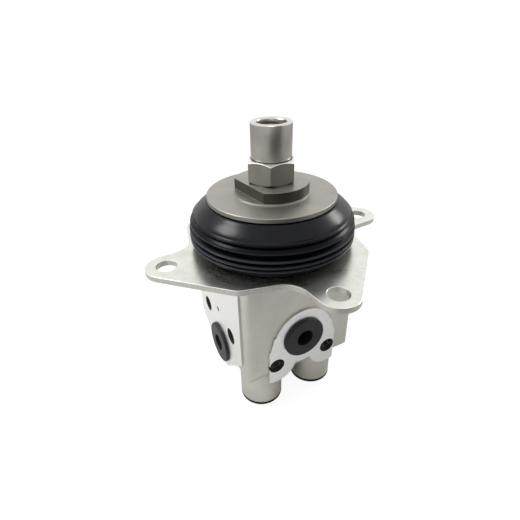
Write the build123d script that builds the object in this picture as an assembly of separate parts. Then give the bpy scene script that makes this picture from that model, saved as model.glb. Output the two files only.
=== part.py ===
"""Hydraulic pilot joystick valve, in millimetres.

A cast body holds four pilot spools under a four-eared mounting plate.  A universal joint on
the plate carries a swash disk, and tilting the disk presses the four domed pushers down.
A rubber bellows boot closes the gap between the plate and the disk, and a lock nut and a
threaded sleeve on top of the disk take the operator's lever.

Frame: Z runs up the lever axis and z = 0 is the underside of the mounting plate, which is
the top face of the body.  -Y is the face with the front port, -X the face with the side port.
"""
import os
from math import cos, pi, radians, sin, sqrt

from build123d import *

# ---------------------------------------------------------------- fits and clearances
RUN_FIT = 0.05            # radial clearance of shafts and pushers in their bores
SEAT_FIT = 0.05           # radial clearance of pieces screwed or pressed together
FREE_GAP = 0.3            # gap between pieces that move past each other

# ---------------------------------------------------------------- mounting plate
PLATE_T = 3.0
EAR_PITCH_R = 58.5        # lever axis to each mounting hole
EAR_R = 10.3              # rounded end of an ear
EAR_HOLE_R = 5.0
SHOULDER_X = 36.2         # corner between the slanted flank and the waist edge
WAIST_X = 42.5            # foot of the next ear, where the waist edge ends
WAIST_Y = 11.2
SHOULDER_R = 9.0
WAIST_R = 12.0

# ---------------------------------------------------------------- cast body
BODY_HALF = 33.5          # half width across the cast faces
BODY_H = 69.0
BODY_CORNER_R = 4.5
BODY_BELLY_R = 12.5       # large rounds round the bottom
FOOT_OFFSET = 17.5        # spool axes at (+-offset, +-offset)
FOOT_R = 12.2
FOOT_LENGTH = 90.5        # from the plate down to the work ports
FOOT_CHAMFER = 0.8
PAD_PROUD = 1.0           # machined pads stand proud of the cast skin
PAD_DEPTH = 11.0          # how far a pad's boss reaches into the casting

# ---------------------------------------------------------------- flange ports
PORT_R = 7.0
PORT_DEPTH = 17.0
PORT_CHAMFER = 0.8
TAP_OFFSET = 16.3         # port axis to each tapped hole, sideways
TAP_R = 3.4
FRONT_TAP_DEPTH = 11.0
SIDE_TAP_DEPTH = 8.5      # short, because a spring chamber lies behind
TAP_CHAMFER = 1.2
FRONT_PORT_Z = -41.0
FRONT_TAP_Z = -55.2
FRONT_LOBE_R = 17.7
FRONT_TAP_LOBE_R = 12.0
FRONT_PAD_HALF = 20.8
FRONT_PAD_SHOULDER = 5.5  # the straight pad sides start this far above the port axis
FRONT_NOTCH_Z = -56.5
SIDE_PORT_Z = -57.5
SIDE_TAP_Z = -40.3
SIDE_LOBE_R = 15.0
SIDE_PAD_HALF = 28.8
SIDE_PAD_CORNER_Z = -51.0
SIDE_PAD_LEAN = 58.0      # where the pad's lower sides touch the round lobe, in degrees
DOWEL_R = 1.5
DOWEL_DEPTH = 4.0
DOWEL_Z = -33.0

# ---------------------------------------------------------------- swash disk
DISK_R = 33.0
DISK_T = 2.4
DISK_TOP_Z = 29.6
DISK_EDGE = 0.3
BOSS_R = 18.6
BOSS_H = 6.2
BOSS_FLATS = 28.0         # across the two spanner flats
BOSS_LEDGE = 0.8          # round ledge left under the flats
NUT_FLATS = 22.0
NUT_H = 11.0
NUT_TURN = 31.0           # a corner of the hexagon points this far from -Y towards -X
STUD_R = 7.0
SLEEVE_R = 10.0
SLEEVE_H = 17.0
THREAD_R = 6.2            # female lever thread, at its minor diameter
THREAD_LENGTH = 8.0
THREAD_CHAMFER = 1.0
SLEEVE_EDGE = 0.5

# ---------------------------------------------------------------- universal joint
PIVOT_Z = 16.5
YOKE_BASE_R = 12.0
YOKE_BASE_T = 4.0
YOKE_HUB_T = 2.5
YOKE_EYE_R = 4.6
YOKE_EAR_OUT = 10.0
CROSS_HALF = 6.1
CROSS_EDGE = 1.0
JOINT_PIN_R = 2.2
ANCHOR_R = 6.0
ANCHOR_LENGTH = 18.0
MAX_TILT = 19.0

# ---------------------------------------------------------------- pushers and their guides
PUSHER_R = 4.0
PUSHER_DOME_R = 5.0
PUSHER_HEAD_R = 6.5
PUSHER_HEAD_H = 4.2
PUSHER_RATIO = 24.6       # pusher travel for each radian of tilt
PUSHER_SPARE = 0.04       # travel left over at full tilt
PUSHER_BORE_R = 2.9
PUSHER_BORE_DEPTH = 9.2
BUSHING_R = 9.0
BUSHING_LAND = 3.6
BUSHING_LENGTH = 19.5
SEAL_R = 6.4
SEAL_T = 2.4
SEAL_LIP_R = 5.0
ORING_R = 1.1
ORING_GROOVE = 1.76       # depth of its groove in the bushing
ORING_DEPTH_Z = -11.0
PLATE_PUSHER_HOLE_R = 5.5

# ---------------------------------------------------------------- springs, seats and spools
CHAMBER_R = 7.2
CHAMBER_FLOOR_Z = -46.0
SEAT_FLANGE_T = 1.5
SEAT_CUP_R = 4.7
SEAT_CUP_WALL = 0.45
SEAT_CUP_LENGTH = 11.0
SEAT_FLANGE_R = 6.4
RETURN_COIL_R = 5.6
RETURN_WIRE_R = 0.65
RETURN_TURNS = 6
BALANCE_COIL_R = 3.6
BALANCE_WIRE_R = 0.5
BALANCE_TURNS = 6
COIL_STEPS = 10           # straight steps in one turn of a spring
SPOOL_R = 4.0
SPOOL_STEM_R = 2.5
SPOOL_WAIST_R = 2.8
SPOOL_COLLAR_R = 3.9
SPOOL_COLLAR_T = 1.5
SPOOL_COLLAR_Z = -36.0
SPOOL_TOP_Z = -17.5
SPOOL_BOTTOM_Z = -71.0
SPOOL_LAND = 5.0
SPOOL_LANDS = 3
WORK_PORT_DEPTH = 14.0

# ---------------------------------------------------------------- plate screws
SCREW_PITCH_R = 25.0
SCREW_R = 3.0
SCREW_LENGTH = 14.0
SCREW_HEAD_R = 5.0
SCREW_HEAD_H = 3.0
SCREW_SOCKET_AF = 4.0
SCREW_SOCKET_DEPTH = 1.8

# ---------------------------------------------------------------- boot
BOOT_WALL = 1.6
BOOT_RIB_R = 43.0
BOOT_GROOVE_R = 40.8
BOOT_RIBS = 5
BOOT_RIB_TOP_Z = 18.4
BOOT_CREST_START = 0.3    # where a rib's crest starts and ends, in parts of its pitch
BOOT_CREST_END = 0.6
BOOT_FOOT_T = 1.2
BOOT_FOOT_IN = 36.0
BOOT_CONE_R = 41.3
BOOT_SHOULDER_R = 39.4
BOOT_SHOULDER_Z = 24.4
BOOT_LIP_R = 30.2
CLAMP_RING_T = 1.2
CLAMP_RING_W = 3.0

# ---------------------------------------------------------------- shipping plugs
PLUG_FLANGE_R = 12.0
PLUG_FLANGE_T = 1.8
PLUG_RECESS_R = 4.8
PLUG_WALL_END = 2.0
PLUG_STEM = 9.0
PLUG_EDGE = 0.6
FOOT_PLUG_FLANGE_R = 9.6
FOOT_PLUG_FLANGE_T = 1.3

# ---------------------------------------------------------------- derived heights
PLATE_TOP_Z = PLATE_T
PUSHER_RISE = PUSHER_RATIO * radians(MAX_TILT) + PUSHER_SPARE
DISK_BOTTOM_Z = DISK_TOP_Z - DISK_T
BOSS_TOP_Z = DISK_TOP_Z + BOSS_H
NUT_TOP_Z = BOSS_TOP_Z + NUT_H
SLEEVE_TOP_Z = NUT_TOP_Z + SLEEVE_H
PAD_FACE = BODY_HALF + PAD_PROUD
PUSHER_TOP_Z = DISK_BOTTOM_Z - FREE_GAP
HEAD_TOP_Z = -SEAL_T - BUSHING_LAND - PUSHER_RISE - FREE_GAP
HEAD_BOTTOM_Z = HEAD_TOP_Z - PUSHER_HEAD_H
SEAT_BOTTOM_Z = HEAD_BOTTOM_Z - SEAT_FLANGE_T
YOKE_EAR_IN = CROSS_HALF + FREE_GAP
CORNERS = {1: 45, 2: 135, 3: 225, 4: 315}
SPOOL_PITCH_R = FOOT_OFFSET * sqrt(2)


def rod(radius, z_low, z_high, x=0.0, y=0.0):
    """A cylinder standing between two heights."""
    return Pos(x, y, (z_low + z_high) / 2) * Cylinder(radius, z_high - z_low)


def tube(outer, inner, z_low, z_high):
    """A ring standing between two heights."""
    return rod(outer, z_low, z_high) - rod(inner, z_low - 1, z_high + 1)


def spin(points):
    """Revolve a closed outline, given as (radius, height), round the Z axis."""
    outline = Plane.XZ * make_face(Polyline(*points, close=True))
    return revolve(outline, Axis.Z)


def at_corner(index, shape):
    """Place a shape drawn on the Z axis at one of the four spool axes."""
    angle = radians(CORNERS[index])
    return Pos(SPOOL_PITCH_R * cos(angle), SPOOL_PITCH_R * sin(angle), 0) * shape


def save(shape, node):
    export_step(shape, "parts/" + node + ".step")


# ---------------------------------------------------------------- plate
def plate_outline():
    """Four ears in a pinwheel: a slanted flank, a shoulder, a waist and the next ear."""
    flank = EAR_R * cos(radians(45))
    edges = []
    for quarter in range(4):
        turn = Rot(0, 0, 90 * quarter)
        start = (flank, -EAR_PITCH_R - flank)
        shoulder = (SHOULDER_X, -(EAR_PITCH_R + EAR_R * sqrt(2) - SHOULDER_X))
        waist = (WAIST_X, -WAIST_Y)
        ear_foot = (EAR_PITCH_R, -EAR_R)
        ear_tip = (EAR_PITCH_R + EAR_R, 0)
        ear_end = (EAR_PITCH_R + flank, flank)
        edges += (turn * Line(start, shoulder)).edges()
        edges += (turn * Line(shoulder, waist)).edges()
        edges += (turn * Line(waist, ear_foot)).edges()
        edges += (turn * ThreePointArc(ear_foot, ear_tip, ear_end)).edges()
    return make_face(edges)


def vertical_edges_near(shape, x, y):
    """The four upright edges that a quarter-turn pattern puts at (x, y)."""
    wanted = [Vector(x, y, 0).rotate(Axis.Z, 90 * quarter) for quarter in range(4)]
    return [
        edge for edge in shape.edges().filter_by(Axis.Z)
        if min((Vector(edge.center().X, edge.center().Y, 0) - point).length for point in wanted) < 1.0
    ]


def mounting_plate():
    plate = extrude(plate_outline(), PLATE_T)
    shoulder_y = -(EAR_PITCH_R + EAR_R * sqrt(2) - SHOULDER_X)
    plate = fillet(vertical_edges_near(plate, SHOULDER_X, shoulder_y), SHOULDER_R)
    plate = fillet(vertical_edges_near(plate, WAIST_X, -WAIST_Y), WAIST_R)
    plate -= rod(ANCHOR_R + SEAT_FIT, -1, PLATE_T + 1)
    for quarter in range(4):
        turn = Rot(0, 0, 90 * quarter)
        plate -= turn * rod(EAR_HOLE_R, -1, PLATE_T + 1, EAR_PITCH_R, 0)
        plate -= turn * rod(SCREW_R + SEAT_FIT, -1, PLATE_T + 1, SCREW_PITCH_R, 0)
    for index in CORNERS:
        plate -= at_corner(index, rod(PLATE_PUSHER_HOLE_R, -1, PLATE_T + 1))
    return plate


def plate_screws():
    screw = rod(SCREW_R, PLATE_TOP_Z - SCREW_LENGTH, PLATE_TOP_Z)
    screw += rod(SCREW_HEAD_R, PLATE_TOP_Z, PLATE_TOP_Z + SCREW_HEAD_H)
    socket = extrude(RegularPolygon(SCREW_SOCKET_AF / 2, 6, major_radius=False), SCREW_SOCKET_DEPTH)
    screw -= Pos(0, 0, PLATE_TOP_Z + SCREW_HEAD_H - SCREW_SOCKET_DEPTH) * socket
    return Compound([Rot(0, 0, 90 * quarter) * Pos(SCREW_PITCH_R, 0, 0) * screw for quarter in range(4)])


# ---------------------------------------------------------------- body
def belly_profile():
    """Front view of the casting: square at the top, well rounded at the bottom."""
    outline = Pos(0, -BODY_H / 2) * Rectangle(2 * BODY_HALF, BODY_H)
    return fillet(outline.vertices().sort_by(Axis.Y)[:2], BODY_BELLY_R)


def casting():
    plan = RectangleRounded(2 * BODY_HALF, 2 * BODY_HALF, BODY_CORNER_R)
    core = Pos(0, 0, -BODY_H) * extrude(plan, BODY_H)
    core &= extrude(Plane.XZ * belly_profile(), BODY_HALF + 1, both=True)
    core &= extrude(Plane.YZ * belly_profile(), BODY_HALF + 1, both=True)
    foot = rod(FOOT_R, -FOOT_LENGTH, -BODY_H / 2)
    foot = chamfer(foot.edges().sort_by(Axis.Z)[0], FOOT_CHAMFER)
    for index in CORNERS:
        core += at_corner(index, foot)
    return core


def front_pad():
    """Pad outline round the front port and its two tapped holes, in (x, z)."""
    outline = Pos(0, FRONT_PORT_Z) * Circle(FRONT_LOBE_R)
    side_top = FRONT_PORT_Z + FRONT_PAD_SHOULDER
    flank = Polygon(
        (-FRONT_LOBE_R, side_top), (-FRONT_PAD_HALF, FRONT_PORT_Z - FRONT_PAD_SHOULDER),
        (-FRONT_PAD_HALF, FRONT_NOTCH_Z), (FRONT_PAD_HALF, FRONT_NOTCH_Z),
        (FRONT_PAD_HALF, FRONT_PORT_Z - FRONT_PAD_SHOULDER), (FRONT_LOBE_R, side_top), align=None)
    outline += flank
    window = Pos(0, FRONT_TAP_Z) * Rectangle(2 * FRONT_PAD_HALF, 3 * FRONT_TAP_LOBE_R)
    for side in (-1, 1):
        outline += (Pos(side * TAP_OFFSET, FRONT_TAP_Z) * Circle(FRONT_TAP_LOBE_R)) & window
    return outline


def side_pad():
    """Pad outline of the side port: the whole upper face, closing in round the low port."""
    lobe = Pos(0, SIDE_PORT_Z) * Circle(SIDE_LOBE_R)
    lean = radians(SIDE_PAD_LEAN)
    touch = (SIDE_LOBE_R * cos(lean), SIDE_PORT_Z - SIDE_LOBE_R * sin(lean))
    upper = Polygon(
        (-SIDE_PAD_HALF, 0), (-SIDE_PAD_HALF, SIDE_PAD_CORNER_Z), (-touch[0], touch[1]),
        touch, (SIDE_PAD_HALF, SIDE_PAD_CORNER_Z), (SIDE_PAD_HALF, 0), align=None)
    return lobe + upper


def pad_boss(outline):
    """A machined pad on the -Y face, with the boss behind it that ties it into the casting."""
    plane = Plane(origin=(0, -PAD_FACE, 0), x_dir=(1, 0, 0), z_dir=(0, -1, 0))
    return extrude(plane * outline, -PAD_DEPTH)


def port_cuts(port_z, tap_z, tap_depth):
    """Port bore and two tapped holes on the -Y face, each with its chamfer."""
    def bore(radius, depth, lead):
        drill = Cylinder(radius, depth, align=(Align.CENTER, Align.CENTER, Align.MIN))
        return drill + Cone(radius + lead, radius, lead, align=(Align.CENTER, Align.CENTER, Align.MIN))

    into_face = Pos(0, -PAD_FACE, 0) * Rot(-90, 0, 0)
    cuts = Pos(0, 0, port_z) * into_face * bore(PORT_R, PORT_DEPTH, PORT_CHAMFER)
    for side in (-1, 1):
        cuts += Pos(side * TAP_OFFSET, 0, tap_z) * into_face * bore(TAP_R, tap_depth, TAP_CHAMFER)
    return cuts


def spool_cuts():
    """Bores of one spool axis: bushing seat, spring chamber, spool bore and work port."""
    cuts = rod(BUSHING_R + SEAT_FIT, -BUSHING_LENGTH, 1)
    cuts += rod(CHAMBER_R, CHAMBER_FLOOR_Z, 0)
    cuts += rod(SPOOL_R + RUN_FIT, -FOOT_LENGTH, CHAMBER_FLOOR_Z)
    cuts += rod(PORT_R, -FOOT_LENGTH - 1, -FOOT_LENGTH + WORK_PORT_DEPTH)
    return cuts


def valve_body():
    side_turn = Rot(0, 0, -90)
    body = casting() + pad_boss(front_pad()) + side_turn * pad_boss(side_pad())
    body -= port_cuts(FRONT_PORT_Z, FRONT_TAP_Z, FRONT_TAP_DEPTH)
    body -= side_turn * port_cuts(SIDE_PORT_Z, SIDE_TAP_Z, SIDE_TAP_DEPTH)
    body -= side_turn * (Pos(0, -PAD_FACE, DOWEL_Z) * Rot(-90, 0, 0)
                         * Cylinder(DOWEL_R, 2 * DOWEL_DEPTH))
    body -= rod(ANCHOR_R + SEAT_FIT, -ANCHOR_LENGTH, 1)
    for quarter in range(4):
        body -= Rot(0, 0, 90 * quarter) * rod(SCREW_R + SEAT_FIT, PLATE_TOP_Z - SCREW_LENGTH - 1, 1,
                                               SCREW_PITCH_R, 0)
    for index in CORNERS:
        body -= at_corner(index, spool_cuts())
    return body


# ---------------------------------------------------------------- swash disk and lever seat
def cam_disk():
    disk = rod(DISK_R, DISK_BOTTOM_Z, DISK_TOP_Z)
    disk = chamfer(disk.edges().filter_by(GeomType.CIRCLE), DISK_EDGE)
    boss = rod(BOSS_R, DISK_TOP_Z, BOSS_TOP_Z)
    boss = chamfer(boss.edges().sort_by(Axis.Z)[-1], DISK_EDGE)
    flat_low = DISK_TOP_Z + BOSS_LEDGE
    for side in (-1, 1):
        boss -= Pos(side * (BOSS_FLATS / 2 + BOSS_R), 0, (flat_low + BOSS_TOP_Z + 1) / 2) * Box(
            2 * BOSS_R, 2 * BOSS_R + 1, BOSS_TOP_Z + 1 - flat_low)
    return disk + boss - rod(STUD_R + SEAT_FIT, DISK_BOTTOM_Z - 1, BOSS_TOP_Z + 1)


def lock_nut():
    """Hexagon nut whose corners are turned off by a 30 degree cone at both ends."""
    corner = NUT_FLATS / sqrt(3)
    hexagon = Rot(0, 0, -90 - NUT_TURN) * RegularPolygon(corner, 6)
    nut = Pos(0, 0, BOSS_TOP_Z) * extrude(hexagon, NUT_H)
    drop = (corner - NUT_FLATS / 2 + DISK_EDGE) / sqrt(3)
    inner = NUT_FLATS / 2 - DISK_EDGE
    nut &= spin([(0, BOSS_TOP_Z), (inner, BOSS_TOP_Z), (corner, BOSS_TOP_Z + drop),
                 (corner, NUT_TOP_Z - drop), (inner, NUT_TOP_Z), (0, NUT_TOP_Z)])
    return nut - rod(STUD_R + SEAT_FIT, BOSS_TOP_Z - 1, NUT_TOP_Z + 1)


def stud_top_z():
    return SLEEVE_TOP_Z - THREAD_CHAMFER - THREAD_LENGTH


def lever_coupling():
    """Sleeve on the stud, with the free female thread for the lever on top."""
    socket_top = stud_top_z() + FREE_GAP
    edge = SLEEVE_R - SLEEVE_EDGE
    return spin([
        (STUD_R + SEAT_FIT, NUT_TOP_Z), (edge, NUT_TOP_Z), (SLEEVE_R, NUT_TOP_Z + SLEEVE_EDGE),
        (SLEEVE_R, SLEEVE_TOP_Z - SLEEVE_EDGE), (edge, SLEEVE_TOP_Z),
        (THREAD_R + THREAD_CHAMFER, SLEEVE_TOP_Z), (THREAD_R, SLEEVE_TOP_Z - THREAD_CHAMFER),
        (THREAD_R, socket_top), (STUD_R + SEAT_FIT, socket_top)])


# ---------------------------------------------------------------- universal joint
def yoke_ear(z_far):
    """One pair of rounded ears on the X axis, reaching from the pivot to a height."""
    ears = Part()
    width = YOKE_EAR_OUT - YOKE_EAR_IN
    for side in (-1, 1):
        centre = side * (YOKE_EAR_IN + YOKE_EAR_OUT) / 2
        eye = Pos(centre, 0, PIVOT_Z) * Rot(0, 90, 0) * Cylinder(YOKE_EYE_R, width)
        leg = Pos(centre, 0, (PIVOT_Z + z_far) / 2) * Box(width, 2 * YOKE_EYE_R, abs(z_far - PIVOT_Z))
        ears += eye + leg
    pin_hole = Pos(0, 0, PIVOT_Z) * Rot(0, 90, 0) * Cylinder(JOINT_PIN_R + RUN_FIT, 4 * YOKE_EAR_OUT)
    return ears - pin_hole


def base_yoke():
    """Lower yoke: an anchor stud through the plate into the body, a base and two ears."""
    base_top = PLATE_TOP_Z + YOKE_BASE_T
    yoke = rod(YOKE_BASE_R, PLATE_TOP_Z, base_top) + rod(ANCHOR_R, FREE_GAP - ANCHOR_LENGTH, PLATE_TOP_Z)
    return Rot(0, 0, CORNERS[1]) * (yoke + yoke_ear(base_top))


def stud_yoke():
    """Upper yoke: two ears hanging from a hub, with the long stud that holds the disk."""
    hub_low = DISK_BOTTOM_Z - YOKE_HUB_T
    yoke = rod(YOKE_BASE_R, hub_low, DISK_BOTTOM_Z) + rod(STUD_R, DISK_BOTTOM_Z, stud_top_z())
    return Rot(0, 0, CORNERS[2]) * (yoke + yoke_ear(hub_low))


def joint_cross():
    cross = Box(2 * CROSS_HALF, 2 * CROSS_HALF, 2 * CROSS_HALF)
    cross = chamfer(cross.edges(), CROSS_EDGE)
    hole = Cylinder(JOINT_PIN_R, 4 * CROSS_HALF)
    cross -= Rot(0, 90, 0) * hole
    cross -= Rot(90, 0, 0) * hole
    return Pos(0, 0, PIVOT_Z) * Rot(0, 0, CORNERS[1]) * cross


def joint_pins(turn, split):
    """Pins on one axis of the cross: one through pin, or two half pins that stop at it."""
    if not split:
        return Pos(0, 0, PIVOT_Z) * Rot(0, 0, turn) * Rot(0, 90, 0) * Cylinder(JOINT_PIN_R, 2 * YOKE_EAR_OUT)
    length = YOKE_EAR_OUT - JOINT_PIN_R
    centre = (YOKE_EAR_OUT + JOINT_PIN_R) / 2
    halves = []
    for side in (-1, 1):
        stub = Pos(side * centre, 0, 0) * Rot(0, 90, 0) * Cylinder(JOINT_PIN_R, length)
        stub -= Rot(90, 0, 0) * Cylinder(JOINT_PIN_R, 4 * JOINT_PIN_R)
        halves.append(Pos(0, 0, PIVOT_Z) * Rot(0, 0, turn) * stub)
    return Compound(halves)


# ---------------------------------------------------------------- pushers and guides
def pusher():
    dome_side = PUSHER_DOME_R - sqrt(PUSHER_DOME_R ** 2 - PUSHER_R ** 2)
    stem = rod(PUSHER_R, HEAD_TOP_Z, PUSHER_TOP_Z)
    cap = Pos(0, 0, PUSHER_TOP_Z - PUSHER_DOME_R) * Sphere(PUSHER_DOME_R)
    stem &= cap + rod(PUSHER_R + 1, HEAD_TOP_Z - 1, PUSHER_TOP_Z - dome_side)
    body = stem + rod(PUSHER_HEAD_R, HEAD_BOTTOM_Z, HEAD_TOP_Z)
    return body - rod(PUSHER_BORE_R, HEAD_BOTTOM_Z - 1, HEAD_BOTTOM_Z + PUSHER_BORE_DEPTH)


def guide_bushing():
    """Guide pressed into the body, with the seal seat on top and an O-ring groove outside."""
    bushing = rod(BUSHING_R, -BUSHING_LENGTH + FREE_GAP, 0)
    bushing -= rod(SEAL_R + SEAT_FIT, -SEAL_T, 1)
    bushing -= rod(PUSHER_R + RUN_FIT, -BUSHING_LENGTH, 1)
    bushing -= rod(PUSHER_HEAD_R + RUN_FIT, -BUSHING_LENGTH - 1, -SEAL_T - BUSHING_LAND)
    groove_half = ORING_R + SEAT_FIT
    groove = tube(BUSHING_R + 1, BUSHING_R - ORING_GROOVE, ORING_DEPTH_Z - groove_half,
                  ORING_DEPTH_Z + groove_half)
    return bushing - groove


def pusher_seal():
    """Wiper ring round the pusher, lying in the top of the guide bushing."""
    inner = PUSHER_R + 1.5 * RUN_FIT
    return spin([(inner, -SEAL_T), (SEAL_R, -SEAL_T), (SEAL_R, 0), (SEAL_LIP_R, 0),
                 (inner, -SEAL_T / 2)])


def bushing_oring():
    """Square-cut ring in the groove of the bushing."""
    return tube(BUSHING_R, BUSHING_R - ORING_GROOVE + SEAT_FIT, ORING_DEPTH_Z - ORING_R,
                ORING_DEPTH_Z + ORING_R)


# ---------------------------------------------------------------- springs, seats and spools
def spring_seat():
    cup_low = SEAT_BOTTOM_Z - SEAT_CUP_LENGTH
    hole = SPOOL_STEM_R + FREE_GAP
    cup_in = SEAT_CUP_R - SEAT_CUP_WALL
    return spin([(hole, HEAD_BOTTOM_Z), (SEAT_FLANGE_R, HEAD_BOTTOM_Z), (SEAT_FLANGE_R, SEAT_BOTTOM_Z),
                 (SEAT_CUP_R, SEAT_BOTTOM_Z), (SEAT_CUP_R, cup_low), (cup_in, cup_low),
                 (cup_in, SEAT_BOTTOM_Z), (hole, SEAT_BOTTOM_Z)])


def coil_spring(coil_r, wire_r, z_low, z_high, turns):
    """Open helical spring that touches both seats, drawn with short straight steps."""
    steps = turns * COIL_STEPS
    rise = (z_high - z_low - 2 * wire_r) / steps
    points = []
    for step in range(steps + 1):
        angle = 2 * pi * step / COIL_STEPS
        points.append((coil_r * cos(angle), coil_r * sin(angle), z_low + wire_r + step * rise))
    path = Polyline(*points)
    section = Plane(path @ 0, z_dir=path % 0) * RegularPolygon(wire_r, 6)
    return sweep(section, path, transition=Transition.RIGHT)


def spool():
    """Pilot spool: a stem up into the spring seat, a spring collar and three lands."""
    bore_top = CHAMBER_FLOOR_Z - 1
    gap = (bore_top - SPOOL_BOTTOM_Z - SPOOL_LANDS * SPOOL_LAND) / (SPOOL_LANDS - 1)
    shape = rod(SPOOL_STEM_R, SPOOL_COLLAR_Z, SPOOL_TOP_Z)
    shape += rod(SPOOL_COLLAR_R, SPOOL_COLLAR_Z - SPOOL_COLLAR_T, SPOOL_COLLAR_Z)
    shape += rod(SPOOL_WAIST_R, SPOOL_BOTTOM_Z, SPOOL_COLLAR_Z)
    for land in range(SPOOL_LANDS):
        top = bore_top - land * (SPOOL_LAND + gap)
        shape += rod(SPOOL_R, top - SPOOL_LAND, top)
    return shape


# ---------------------------------------------------------------- boot and its clamp ring
def boot():
    """Bellows: a smooth shoulder under the disk, then ribs down to a flat foot."""
    foot_top = PLATE_TOP_Z + BOOT_FOOT_T
    pitch = (BOOT_RIB_TOP_Z - foot_top) / BOOT_RIBS
    outer = [(BOOT_FOOT_IN, PLATE_TOP_Z), (BOOT_GROOVE_R, PLATE_TOP_Z), (BOOT_GROOVE_R, foot_top)]
    for rib in range(BOOT_RIBS):
        low = foot_top + rib * pitch
        outer.append((BOOT_RIB_R, low + BOOT_CREST_START * pitch))
        outer.append((BOOT_RIB_R, low + BOOT_CREST_END * pitch))
        outer.append((BOOT_GROOVE_R, low + pitch))
    lip_top = DISK_BOTTOM_Z - FREE_GAP
    outer.append((BOOT_CONE_R, BOOT_RIB_TOP_Z + BOOT_FOOT_T))
    outer.append((BOOT_SHOULDER_R, BOOT_SHOULDER_Z))
    outer.append((DISK_R, lip_top))
    outer.append((BOOT_LIP_R, lip_top))
    inner = [(BOOT_LIP_R, lip_top - BOOT_WALL), (DISK_R, lip_top - BOOT_WALL),
             (BOOT_SHOULDER_R - BOOT_WALL, BOOT_SHOULDER_Z - BOOT_WALL / 2),
             (BOOT_GROOVE_R - BOOT_WALL, BOOT_RIB_TOP_Z), (BOOT_GROOVE_R - BOOT_WALL, foot_top),
             (BOOT_FOOT_IN, foot_top)]
    return spin(outer + inner)


def clamp_ring():
    """Flat steel ring that holds the foot of the boot down on the plate."""
    low = PLATE_TOP_Z + BOOT_FOOT_T
    return tube(BOOT_FOOT_IN + CLAMP_RING_W - BOOT_WALL / 2, BOOT_FOOT_IN - CLAMP_RING_W / 2, low,
                low + CLAMP_RING_T)


# ---------------------------------------------------------------- shipping plugs
def shipping_plug(flange_r, flange_t):
    """Push-in plastic plug, drawn with its flange below z = 0 and its stem above."""
    stem_r = PORT_R - SEAT_FIT
    return spin([
        (0, PLUG_STEM), (stem_r - PLUG_EDGE, PLUG_STEM), (stem_r, PLUG_STEM - PLUG_EDGE), (stem_r, 0),
        (flange_r, 0), (flange_r, -flange_t + PLUG_EDGE), (flange_r - PLUG_EDGE, -flange_t),
        (PLUG_RECESS_R, -flange_t), (PLUG_RECESS_R, PLUG_STEM - PLUG_WALL_END),
        (0, PLUG_STEM - PLUG_WALL_END)])


def port_plug(port_z):
    return Pos(0, -PAD_FACE, port_z) * Rot(-90, 0, 0) * shipping_plug(PLUG_FLANGE_R, PLUG_FLANGE_T)


def main():
    os.makedirs("parts", exist_ok=True)
    save(valve_body(), "valve_body")
    save(mounting_plate(), "mounting_plate")
    save(plate_screws(), "plate_screws")
    save(base_yoke(), "base_yoke")
    save(joint_cross(), "joint_cross")
    save(joint_pins(CORNERS[1], False), "base_pin")
    save(joint_pins(CORNERS[2], True), "stud_pins")
    save(stud_yoke(), "stud_yoke")
    save(cam_disk(), "cam_disk")
    save(lock_nut(), "lock_nut")
    save(lever_coupling(), "lever_coupling")
    save(boot(), "boot")
    save(clamp_ring(), "clamp_ring")
    save(port_plug(FRONT_PORT_Z), "front_port_plug")
    save(Rot(0, 0, -90) * port_plug(SIDE_PORT_Z), "side_port_plug")
    foot_plug = Pos(0, 0, -FOOT_LENGTH) * shipping_plug(FOOT_PLUG_FLANGE_R, FOOT_PLUG_FLANGE_T)
    per_axis = {
        "pusher": pusher(),
        "guide_bushing": guide_bushing(),
        "pusher_seal": pusher_seal(),
        "bushing_oring": bushing_oring(),
        "spring_seat": spring_seat(),
        "return_spring": coil_spring(RETURN_COIL_R, RETURN_WIRE_R, CHAMBER_FLOOR_Z, SEAT_BOTTOM_Z,
                                     RETURN_TURNS),
        "balance_spring": coil_spring(BALANCE_COIL_R, BALANCE_WIRE_R, SPOOL_COLLAR_Z, SEAT_BOTTOM_Z,
                                      BALANCE_TURNS),
        "spool": spool(),
        "foot_plug": foot_plug,
    }
    for name, shape in per_axis.items():
        for index in CORNERS:
            save(at_corner(index, shape), f"{name}_{index}")


main()
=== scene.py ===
# %% [markdown]
# # A hydraulic pilot joystick valve
# A cast aluminium body hangs under a zinc-plated steel plate. Above the plate a rubber bellows
# boot closes the joint, and a blasted steel disk, a lock nut and a threaded sleeve stand on it.
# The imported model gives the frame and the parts. Some parts are copied here with rounded edges,
# and the boot, the sleeve and the disk are made anew in the same place, with finer shapes.

# %% Load the model as a fixed frame
from math import cos, pi, radians, sin, tan

import bpy
from mathutils import Matrix, Vector


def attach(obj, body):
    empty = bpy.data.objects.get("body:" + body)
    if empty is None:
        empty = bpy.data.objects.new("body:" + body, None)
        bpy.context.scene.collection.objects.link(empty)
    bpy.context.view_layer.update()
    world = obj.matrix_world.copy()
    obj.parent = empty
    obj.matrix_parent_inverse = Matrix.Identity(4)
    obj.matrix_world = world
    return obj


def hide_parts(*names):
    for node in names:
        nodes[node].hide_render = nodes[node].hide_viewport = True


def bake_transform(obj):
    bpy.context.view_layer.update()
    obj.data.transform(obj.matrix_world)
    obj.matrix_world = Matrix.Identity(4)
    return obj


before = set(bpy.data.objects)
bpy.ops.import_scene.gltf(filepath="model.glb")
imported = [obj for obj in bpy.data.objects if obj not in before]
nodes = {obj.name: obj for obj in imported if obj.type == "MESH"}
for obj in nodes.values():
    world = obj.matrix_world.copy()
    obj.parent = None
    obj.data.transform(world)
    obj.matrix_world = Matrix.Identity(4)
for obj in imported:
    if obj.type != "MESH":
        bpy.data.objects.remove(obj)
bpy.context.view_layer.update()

MM = 0.001

# %% [markdown]
# ## Small helpers
# Operators act on whatever is selected, and the loaded parts start out selected. So everything
# is deselected before a primitive is added. A finished piece has its place in its mesh, with its
# object at the origin, so that it moves with its body and its patterns stay where they are.


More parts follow.
